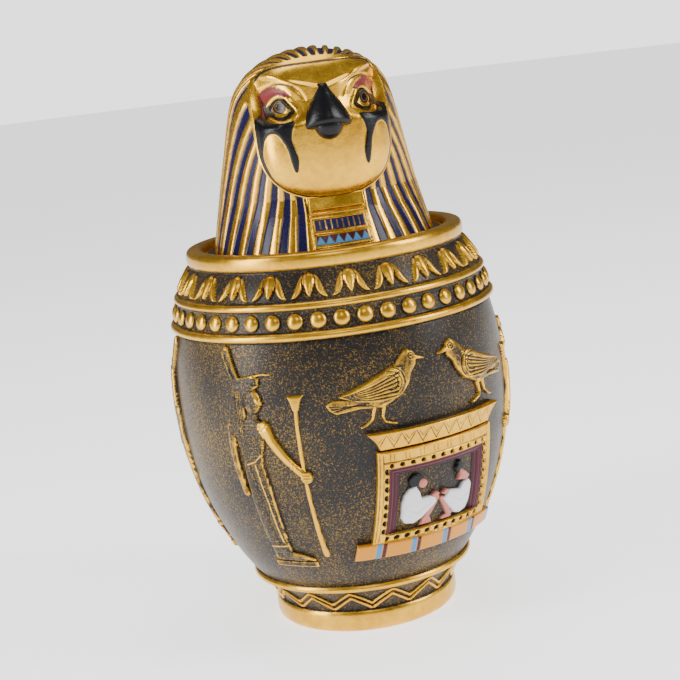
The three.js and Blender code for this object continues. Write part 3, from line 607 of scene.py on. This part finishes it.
def cloth_section(z):
    """Half-width, front depth, back depth and middle of the headcloth's rounded section at a height."""
    h = z - CLOTH_BASE
    t = np.clip((z - CAP_FROM) / (CLOTH_TOP - CAP_FROM), 0, 1)
    cap = np.sqrt(1 - t**3)
    front = np.interp(z, *zip(*CLOTH_FRONT))
    middle = -12.4 * np.clip(h / (CLOTH_TOP - CLOTH_BASE), 0, 1) ** 2
    return (42.2 - 0.216 * h) * cap, front * cap, (41 - 0.2 * h) * cap, middle


def inside_cloth(p):
    """True where a point is inside the headcloth."""
    a, front, back, middle = cloth_section(p[..., 2])
    dy = p[..., 1] - middle
    depth = np.maximum(np.where(dy < 0, front, back), 1e-6)
    return (p[..., 2] < CLOTH_TOP) & ((p[..., 0] / np.maximum(a, 1e-6)) ** 2 + (dy / depth) ** 2 < 1)


def cloth_front(x, z):
    """Front surface of the headcloth, as y over x and z."""
    a, front, _, middle = cloth_section(z)
    return middle - front * np.sqrt(1 - np.clip(np.abs(x) / a, 0, 0.999) ** 2)


def opening_edge(degrees):
    """Edge of the face opening at an angle from straight down: an oval that is squarer above."""
    t = np.radians(degrees)
    s, c = np.sin(t), -np.cos(t)
    n = np.where(c < 0, 2.5, 5.0)
    reach = np.where(c < 0, FACE_DOWN, FACE_UP)
    r = ((np.abs(s) / FACE_WIDTH) ** n + (np.abs(c) / reach) ** n) ** (-1 / n)
    return r * s, FACE_Z + r * c


def to_plane(p):
    """Directions from the head's middle laid out on a plane, where each stripe is a straight line."""
    d = p - HEAD_MIDDLE
    d = d / np.linalg.norm(d, axis=-1, keepdims=True)
    return d[..., :2] / (1 + d[..., 2:])


def cast(w, under):
    """From a place on that plane back to the cloth's surface, less a depth below it, by halving."""
    s = (w**2).sum(-1)
    d = np.stack([2 * w[..., 0], 2 * w[..., 1], 1 - s], -1) / (1 + s)[..., None]
    near, far = np.zeros(s.shape), np.full(s.shape, 90.0)
    for _ in range(26):
        mid = (near + far) / 2
        inside = inside_cloth(HEAD_MIDDLE + d * mid[..., None])
        near, far = np.where(inside, mid, near), np.where(inside, far, mid)
    return HEAD_MIDDLE + d * (near - under)[..., None]


def headcloth():
    """Striped cloth: raised gold folds with navy between them run from the face opening to the disc."""
    pitch = (180 - STRIPE_FIRST) / (STRIPE_COUNT - 1)
    half = np.concatenate([np.linspace(0.6, STRIPE_EDGE - 0.7, 6),
                           np.arange(STRIPE_EDGE, 180, pitch / 16)])
    degrees = np.concatenate([[0], half, [180], -half[::-1]])
    size = np.abs(degrees)
    phase = (size - STRIPE_FIRST) / pitch
    off = np.abs(phase - np.round(phase))
    navy = ease((STRIPE_SHARE / 2 - off) / 0.05 + 0.5) * (size > STRIPE_EDGE + 1.2)
    panel = 1 - ease((size - STRIPE_EDGE + 0.5) / 0.9)
    fold = 0.22 * np.clip((off - 0.27) / 0.23, 0, 1) ** 0.7
    rise = np.where(size < STRIPE_EDGE - 0.3, 0, fold)
    under = STRIPE_RECESS * np.maximum(navy, panel) - rise + 0.2
    x, z = opening_edge(np.interp(size, *STRIPE_START.T))
    x = np.where(degrees < 0, -x, x)
    start = to_plane(np.stack([x, cloth_front(x, z), z], -1))
    a, front, back, _ = cloth_section(np.array(CLOTH_BASE))
    sn, cs = np.sin(np.radians(degrees)), np.cos(np.radians(degrees))
    r = 1 / np.hypot(sn / a, cs / np.where(cs > 0, front, back))
    end = to_plane(np.stack([r * sn, -r * cs, np.full(len(r), CLOTH_BASE)], -1))
    t = np.linspace(0, 1, 130) ** 1.25
    w = start[None] + (end - start)[None] * t[:, None, None]
    rim = ease((0.032 - t) / 0.012)[:, None] * (size > STRIPE_EDGE - 1)
    depth = under[None] * (1 - rim) + 0.05 * rim + 0 * t[:, None]
    skin = cast(w, depth)
    tuck = skin[:1] * 0.8 + np.array([0, -10.0, FACE_Z]) * 0.2
    foot = skin[-1:] * [1, 1, 0] + [0, 0, CLOTH_BASE - 0.6]
    sections = np.concatenate([tuck, skin, foot])
    # Each gold fold darkens toward its edges beside the recessed navy: painted shade in the creases.
    gild = 0.35 + 0.65 * np.clip((off - 0.2) / 0.2, 0, 1)[None] * (1 - rim) + 0.5 * rim
    gild = np.concatenate([gild[:1], gild, gild[-1:]])
    paint = np.zeros(sections.shape[:2] + (4,))
    paint[..., :3] = NAVY
    cover = navy[None] * (1 - rim)
    paint[..., 3] = np.concatenate([cover[:1], cover, cover[-1:]])
    return loft("headcloth", sections, gild=gild, paint=paint)


def lid_disc():
    """The lid's plug and disc, turned round the axis."""
    profile = rounded([(40.2, 140.5), (40.2, 145.3), (46.2, 145.35), (46.2, 146.3), (45.7, 146.6),
                       (40, 146.6)], 2)
    sections = ring_of(np.concatenate([[(39.4, 140.5)], profile]), DISC_SIDES)
    shade = np.concatenate([[0.2], np.where(profile[:, 0] > 44.8, 0.55, 0.2)])
    return loft("lid_disc", sections, gild=np.repeat(shade[:, None], DISC_SIDES, 1),
                paint=np.zeros(sections.shape[:2] + (4,)))


# ------------------------------------------------------------------ the lid: face


def face_front(x, z):
    """The face, as y over x and z.

    Full cheeks below; at eye height a wedge that narrows to the beak; above it a flat forehead whose lower
    edge overhangs the eyes as a brow.
    """
    ax = np.abs(x)
    ex, ez = opening_edge(np.degrees(np.arctan2(ax, FACE_Z - z)))
    rho = np.clip(np.hypot(x, z - FACE_Z) / np.hypot(ex, ez - FACE_Z), 0, 1)
    edge = cloth_front(ex, ez) + 0.8
    cheeks = edge + (FACE_FRONT - edge) * (1 - rho**2.6) ** 0.55
    wedge = np.minimum(FACE_FRONT - 1 + 0.36 * np.clip(z - 192, 0, 9) + 0.0317 * ax**2, edge + 1)
    forehead = -33 + 0.5 * (z - 206) + 0.01 * ax**2
    upper = wedge + (forehead - wedge) * ease((z - FACE_BROW - 0.28 * ax + 0.8) / 1.8)
    fallen = edge + (upper - edge) * np.sqrt(1 - rho**12)
    return cheeks + (fallen - cheeks) * ease((z - 192) / 6)


def on_face(x, z, h):
    """Placing for what lies on the face."""
    return np.stack([x, face_front(x, z) - h, z + 0 * x], -1)


# Painted marks on one half of the face, as (distance from the middle, height).
EYE = [(11.5, 197.6), (12.9, 200.0), (14.4, 202.2), (16.2, 202.3), (18.0, 200.6), (18.9, 198.3),
       (17.9, 196.1), (16.0, 195.3), (13.5, 196.0)]
BROW_PATCH = [(24.2, 196.6), (22.9, 201.0), (21.4, 204.2), (19.2, 206.2), (16.8, 206.8), (14.3, 205.6),
              (12.0, 203.4), (13.6, 203.0), (15.8, 203.9), (18.4, 202.4), (20.0, 199.8), (20.4, 196.4)]
MARK = [(22.1, 197.0), (20.6, 195.2), (18.6, 194.0), (15.5, 193.9), (12.6, 194.3), (12.4, 193.2),
        (13.3, 191.0), (13.9, 187.6), (13.0, 184.0), (12.3, 180.2), (12.9, 176.6), (13.8, 176.8),
        (14.7, 180.8), (15.4, 184.6), (16.6, 187.6), (18.2, 190.2), (20.4, 190.9), (22.2, 189.6),
        (23.3, 186.2), (23.6, 181.4), (21.8, 175.2), (23.6, 177.2), (25.4, 181.8), (26, 188), (25.4, 193),
        (24.2, 196.4)]


def closed_curve(corners, steps=6):
    """Smooth closed outline through its corners."""
    ring = corners[-1:] + corners + corners[:2]
    curve = smooth_curve(ring, steps)[steps:-2 * steps]
    return [tuple(point) for point in curve]


def face():
    """The gilt face with its brow patches and the dark marks below the eyes, and painted shade round its rim,
    round the eyes, under the brow and under the chin.
    """
    turn = np.linspace(0, 2 * np.pi, 264, endpoint=False)
    degrees = np.degrees(turn)
    side = np.where(degrees > 180, -1, 1)
    ex, ez = opening_edge(np.where(degrees > 180, 360 - degrees, degrees))
    rho = np.sin(np.linspace(0.02, 1, 110) * np.pi / 2)[::-1]
    x = (side * ex)[None] * rho[:, None]
    z = FACE_Z + (ez - FACE_Z)[None] * rho[:, None]
    shade = Relief(np.abs(x), z, 1, ground=0.0, gold=0.9)
    eye_line = outline(shade.x, z, closed_curve(EYE))
    fold = np.hypot((shade.x - 15.4) / 1.05, z - 199.2) - 8.3
    shade.cut(np.abs(fold) + FAR * (z < 201), 0.5, 0.9, gold=0.45)
    shade.cut(outline(shade.x, z, closed_curve(BROW_PATCH)), 0.35, 0.5, gold=0.4, paint=ROSE)
    mark = outline(shade.x, z, closed_curve(MARK, 3))
    shade.h += 0.5 * ease(0.5 - mark / 0.8)
    shade.colour(np.abs(mark) - 0.25, gold=0.25)
    shade.colour(mark, gold=0.0, paint=BLACK)
    shade.h += 0.9 * np.exp(-((eye_line - 1.2) / 0.8) ** 2)
    # Painted shade: a dark ring in the crease round each raised eye socket.
    shade.gold -= 0.5 * np.exp(-((eye_line - 2.5) / 0.4) ** 2)
    # Painted shade: a dark band round the rim, where the face meets the cloth.
    shade.gold -= 0.7 * ease((rho[:, None] - 0.955) / 0.03)
    # Painted shade: a dark line under the brow's overhang.
    shade.gold -= 0.35 * np.exp(-((z - FACE_BROW - 0.28 * shade.x + 1.2) / 0.8) ** 2) * (shade.x > 3)
    # Painted shade: the chin darker toward its underside.
    shade.gold -= 0.3 * ease((FACE_Z - 15 - z) / 8)
    skin = np.stack([x, face_front(x, z) - shade.h * (rho < 0.97)[:, None], z], -1)
    back = skin[:1] + [0, 6, 0]
    gild = np.concatenate([shade.gold[:1], shade.gold])
    paint = np.concatenate([shade.paint[:1], shade.paint])
    return loft("falcon_face", np.concatenate([back, skin]), gild=gild, paint=paint)


def eye(name, side):
    """An almond-shaped eye: a black rim round a gilt eyeball with a dark iris."""
    s = sheet((9.5, 20.6), (193.4, 204.2), 0.15, ground=-0.8)
    x, z = s.x, s.z
    rim = outline(x, z, closed_curve(EYE))
    s.raise_(rim - 0.35, 1.3, edge=0.5, dome=0.8, gold=0.1, paint=BLACK)
    inside = rim + 0.75
    s.cut(inside, 0.55, 0.5)
    bulge = 0.9 * np.sqrt(np.clip(1 - ((x - 15.3) / 3.4) ** 2 - ((z - 199) / 3.2) ** 2, 0, 1))
    s.h = np.where(inside < 0, np.maximum(s.h, 0.5 + bulge), s.h)
    s.colour(inside, gold=0.8)
    s.paint[..., 3] = np.where(inside < 0.1, 0.0, s.paint[..., 3])
    iris = np.hypot((x - 15.7) * 1.1, z - 199.5)
    s.colour(np.maximum(iris - 2.35, inside), paint=BLACK)
    s.colour(np.maximum(np.abs(iris - 1.5) - 0.22, inside), paint=(0.10, 0.05, 0.02))
    s.x = s.x * side
    return plaque(name, s, on_face)


# Height, half-width and how far the ridge stands in front of the cheeks.
BEAK = [(191.4, 8.0, 2.6), (192.2, 9.0, 4.1), (193.2, 9.2, 4.9), (194.4, 8.5, 5.0), (196, 7.7, 4.4),
        (198, 6.6, 3.3), (200, 5.5, 1.9), (202, 4.3, 0.5), (203.8, 3.2, -0.6), (205.4, 2.3, -1.8),
        (206.3, 1.6, -2.8)]
LOWER_BEAK = [(186.3, 1.4, 0.0), (186.9, 3.0, 1.3), (188.2, 4.4, 2.7), (190, 5.4, 3.5), (191.6, 5.7, 3.7),
              (192.8, 5.6, 3.4)]


def beak(name, rows, droop, ridge):
    """Half-oval sections stacked up the height, with a soft ridge in front; the corners may hang lower."""
    z, half, reach = smooth_curve(rows, 6).T
    t = np.linspace(-1, 1, 49)
    out = (1 - np.abs(t) ** ridge) ** 0.72
    x = half[:, None] * np.sin(t * np.pi / 2)
    root = -32.5
    y = root + (FACE_FRONT - reach[:, None] - root) * out
    fall = droop * ease((194.6 - z) / 2.4)[:, None] * t**2
    outer = np.stack([x, y, z[:, None] - fall], -1)
    inner = outer[:, [-1, 0]] * [0.8, 1, 1] + [0, 5, 0]
    sections = np.concatenate([outer, inner], 1)
    blank = np.zeros(sections.shape[:2] + (4,))
    blank[..., :3], blank[..., 3] = BLACK, 1
    return loft(name, sections, gild=np.zeros(sections.shape[:2]), paint=blank)


def collar():
    """The painted collar below the chin: gold bars, a navy band and a row of pointed petals."""
    s = sheet((-11.0, 11.0), (146.9, 166.6), 0.18, ground=0.0)
    x, z = s.x, s.z
    s.gold += 0.9
    half = 9.6 + 0.06 * (166 - z)
    bars = ((161.5, 167, 0.5), (158.4, 161.1, 0.8), (153.0, 154.1, 0.7), (148.3, 149.3, 0.6))
    for low, high, lift in bars:
        s.raise_(np.abs(z - (low + high) / 2) - (high - low) / 2, lift, edge=0.3, dome=0.6, gold=0.9)
    s.cut(np.abs(z - 159.7), 0.45, 0.4, gold=0.1)
    s.cut(np.abs(z - 161.3), 0.5, 0.4, gold=0.0)
    s.raise_(np.abs(np.abs(x) - half - 0.5) - 0.6, 0.8, edge=0.4, dome=0.5, gold=0.95)
    s.colour(np.maximum(np.abs(z - 156.2) - 1.9, np.abs(x) - half), gold=0, paint=NAVY)
    line = np.abs(np.mod(x + 10.5, 2.1) - 1.05) - 0.1
    s.cut(np.where(np.abs(z - 156.2) < 1.7, line, FAR), 0.3, 0.25, gold=0, paint=(0.002, 0.002, 0.01))
    row = np.maximum(np.abs(z - 151.1) - 1.6, np.abs(x) - half)
    s.colour(row, gold=0, paint=OXBLOOD)
    peak = np.abs(np.mod(x + 9.9, 3.3) - 1.65) * 1.7 + (z - 152.6)
    s.raise_(np.maximum(peak, row), 0.4, edge=0.3, gold=0, paint=SKY)
    def place(x, z, h):
        return np.stack([x, cloth_front(x, z) + 0.4 - h, z + 0 * x], -1)
    return plaque("collar", s, place)


# ------------------------------------------------------------------ finishes


class Value:
    """A shader socket that can be used in Python expressions."""

    def __init__(self, finish, socket):
        self.finish, self.socket = finish, socket

    def _with(self, operation, *others):
        return self.finish.node("ShaderNodeMath", {"operation": operation}, dict(enumerate((self,) + others)))

    def __add__(self, other):
        return self._with("ADD", other)

    def __radd__(self, other):
        return self._with("ADD", other)

    def __sub__(self, other):
        return self._with("SUBTRACT", other)

    def __rsub__(self, other):
        return self._with("MULTIPLY", -1.0) + other

    def __mul__(self, other):
        return self._with("MULTIPLY", other)

    def clip(self):
        return self.finish.node("ShaderNodeClamp", {}, {"Value": self}, "Result")


class Finish:
    """A material with its shader, and the means to add nodes to it."""

    def __init__(self, name, **constants):
        self.material = bpy.data.materials.new(name)
        self.material.use_nodes = True
        self.tree = self.material.node_tree
        self.shader = self.tree.nodes["Principled BSDF"]
        for key, value in constants.items():
            self.shader.inputs[key.replace("_", " ")].default_value = value

    def node(self, kind, settings, inputs, output=0):
        made = self.tree.nodes.new(kind)
        for key, value in settings.items():
            setattr(made, key, value)
        for key, value in inputs.items():
            if isinstance(value, Value):
                self.tree.links.new(value.socket, made.inputs[key])
            else:
                made.inputs[key].default_value = value
        return Value(self, made.outputs[output])

    def feed(self, key, value):
        self.tree.links.new(value.socket, self.shader.inputs[key])

    def noise(self, scale, detail=3.0, roughness=0.55, distortion=0.0):
        where = self.node("ShaderNodeTexCoord", {}, {}, "Object")
        inputs = {"Vector": where, "Scale": scale, "Detail": detail, "Roughness": roughness,
                  "Distortion": distortion}
        return self.node("ShaderNodeTexNoise", {}, inputs, "Fac")

    def mix(self, share, a, b):
        inputs = {0: share, 6: a, 7: b}
        return self.node("ShaderNodeMix", {"data_type": "RGBA"}, inputs, 2)


def step(value, low, high):
    """Straight ramp of a socket from low to high, clipped to 0..1."""
    return ((value - low) * (1 / (high - low))).clip()


def cast_resin(name, ground, worn_ground, gold, amber, fleck, gloss):
    """Painted cast resin: a dark ground with gold brushed over it, gilding by attribute, then paints."""
    f = Finish(name, Coat_Weight=0.03, Coat_Roughness=0.2, Specular_IOR_Level=0.22)
    gild = f.node("ShaderNodeAttribute", {"attribute_name": "gild"}, {}, "Fac")
    paint = f.node("ShaderNodeAttribute", {"attribute_name": "paint"}, {}, "Color")
    cover = f.node("ShaderNodeAttribute", {"attribute_name": "paint"}, {}, "Alpha")
    grain = f.noise(1300, 2.0, 0.6)
    fine = f.noise(2600, 1.0, 0.5)
    brushed = f.noise(300, 4, 0.6, 0.4)
    cloud = f.noise(32, 2, 0.5)
    speck = step(grain * 0.6 + fine * 0.4 + (cloud - 0.5) * 0.22, 0.535, 0.64) * fleck
    base = f.mix(step(cloud, 0.35, 0.65), ground, worn_ground)
    # The gild attribute also carries painted shade at the face's rim, eye creases, brow and chin, round the
    # beads and along the edges of the gilt bands and headcloth folds. Where gild is low, this mask leaves the
    # dark ground showing as that painted shade.
    gilt_and_painted_shade = step(gild + (brushed - 0.5) * 0.55 + (grain - 0.5) * 0.35, 0.3, 0.62)
    gilt = f.mix(step(brushed * 0.5 + cloud * 0.5, 0.28, 0.62), amber, gold)
    metal = (gilt_and_painted_shade + speck * (1 - gilt_and_painted_shade)).clip()
    chip = step(grain, 0.26, 0.31)
    cover = cover * chip
    f.feed("Base Color", f.mix(cover, f.mix(metal, base, gilt), paint))
    f.feed("Metallic", metal * (1 - cover) * 0.9)
    f.feed("Roughness", (gloss + (brushed - 0.5) * 0.16 + speck * 0.15 - gilt_and_painted_shade * 0.08 - cover * 0.05).clip())
    height = brushed * 0.35 + grain * 0.45 * (1 - gilt_and_painted_shade * 0.7)
    f.feed("Normal", f.node("ShaderNodeBump", {}, {"Strength": 0.5, "Distance": 0.0003, "Height": height}))
    return f.material


def floor_paint():
    """Pale matt board with a very faint mottle."""
    f = Finish("studio_board", Roughness=0.8, Emission_Color=(1, 1, 1, 1), Emission_Strength=1.5)
    f.feed("Base Color", f.mix(f.noise(6, 2), (0.86, 0.86, 0.86, 1), (0.9, 0.9, 0.9, 1)))
    return f.material


# ------------------------------------------------------------------ stage


def camera():
    """A little to the falcon's right and level with its crown, with a slight roll."""
    at, target = Vector((-0.1112, -0.6000, 0.22545)), Vector((0.00147, -0.00027, 0.1065))
    data = bpy.data.cameras.new("camera")
    data.lens, data.sensor_width, data.sensor_fit = 84.7, 36, "HORIZONTAL"
    cam = bpy.data.objects.new("camera", data)
    look = (target - at).to_track_quat("-Z", "Y").to_matrix().to_4x4()
    cam.matrix_world = Matrix.Translation(at) @ look @ Matrix.Rotation(math.radians(-6.97), 4, "Z")
    bpy.context.scene.collection.objects.link(cam)
    bpy.context.scene.camera = cam


def light(name, at, target, size, watts, colour=(1, 1, 1)):
    """A soft rectangular lamp that faces a point."""
    data = bpy.data.lights.new(name, "AREA")
    data.shape, data.size, data.size_y, data.energy, data.color = "RECTANGLE", size[0], size[1], watts, colour
    lamp = bpy.data.objects.new(name, data)
    turn = (Vector(target) - Vector(at)).to_track_quat("-Z", "Y")
    lamp.matrix_world = Matrix.Translation(at) @ turn.to_matrix().to_4x4()
    bpy.context.scene.collection.objects.link(lamp)


def studio():
    """A pale board under the jar, a pale room that lights softly from above, and soft lamps."""
    turn = np.linspace(0, 2 * np.pi, 64, endpoint=False)
    r = np.array([6000.0, 6000.0])[:, None]
    z = np.array([-10.0, 0.0])[:, None]
    board = loft("board", np.stack([r * np.sin(turn), -r * np.cos(turn), z + 0 * turn], -1))
    board.data.materials.append(floor_paint())
    world = bpy.data.worlds.new("room")
    world.use_nodes = True
    tree = world.node_tree
    background = tree.nodes["Background"]
    path = tree.nodes.new("ShaderNodeLightPath")
    strength = tree.nodes.new("ShaderNodeMapRange")
    strength.inputs["To Min"].default_value, strength.inputs["To Max"].default_value = 0.12, 2.2
    tree.links.new(path.outputs["Is Camera Ray"], strength.inputs["Value"])
    tree.links.new(strength.outputs["Result"], background.inputs["Strength"])
    background.inputs["Color"].default_value = (1, 1, 1, 1)
    bpy.context.scene.world = world
    middle = (0, 0, 0.12)
    light("left", (-0.95, -0.25, 0.45), middle, (0.3, 0.9), 12)
    light("right", (0.85, -0.45, 0.6), middle, (0.3, 0.7), 9)
    light("front", (-0.1, -1.0, 0.95), middle, (0.3, 0.3), 2.5)
    light("top", (0.05, 0.25, 1.2), middle, (0.7, 0.7), 6)


# ------------------------------------------------------------------ putting it together

camera()
studio()

JAR_FINISH = cast_resin("antique_bronze_resin", (0.010, 0.010, 0.011, 1), (0.019, 0.017, 0.015, 1),
                        (0.80, 0.45, 0.035, 1), (0.50, 0.24, 0.014, 1), 0.30, 0.38)
LID_FINISH = cast_resin("antique_gold_resin", (0.020, 0.010, 0.004, 1), (0.035, 0.017, 0.006, 1),
                        (0.82, 0.46, 0.038, 1), (0.50, 0.23, 0.012, 1), 0.0, 0.34)

FINE, MEDIUM, COARSE = 0.29, 0.34, 0.45
JAR_PIECES = [
    vessel(),
    band("chevron_band", (9.4, 18.3), CHEVRONS["count"], CHEVRONS["first"], 40, draw_chevron, 0.26),
    band("lotus_band", (133.1, 142.8), LOTUS["count"], LOTUS["first"], 34, draw_lotus, 0.26),
    bead_row(),
    shrine("shrine_front", SHRINE_AT, 0.235),
    shrine("shrine_back", SHRINE_AT + 180, 0.45, plain=True),
    seated_figures("seated_figures", SHRINE_AT, 0.2),
    dove("dove_left", SHRINE_AT, 1, 0.26),
    dove("dove_right", SHRINE_AT, -1, 0.26),
    standing_figure("standing_figure_a", SHRINE_AT - FIGURE_FROM_SHRINE, 1, FINE),
    standing_figure("standing_figure_b", SHRINE_AT + FIGURE_FROM_SHRINE, -1, MEDIUM),
    standing_figure("standing_figure_c", SHRINE_AT + 180 - FIGURE_FROM_SHRINE, 1, COARSE),
    standing_figure("standing_figure_d", SHRINE_AT + 180 + FIGURE_FROM_SHRINE, -1, MEDIUM),
]
LID_PIECES = [
    lid_disc(), headcloth(), face(), eye("eye_right", -1), eye("eye_left", 1), collar(),
    beak("beak_upper", BEAK, 2.4, 1.35), beak("beak_lower", LOWER_BEAK, 0.0, 2.2),
]

for group, finish, node in ((JAR_PIECES, JAR_FINISH, "jar_body"), (LID_PIECES, LID_FINISH, "falcon_lid")):
    for piece in group:
        piece.data.materials.clear()
        piece.data.materials.append(finish)
        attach(piece, "root")
    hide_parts(node)
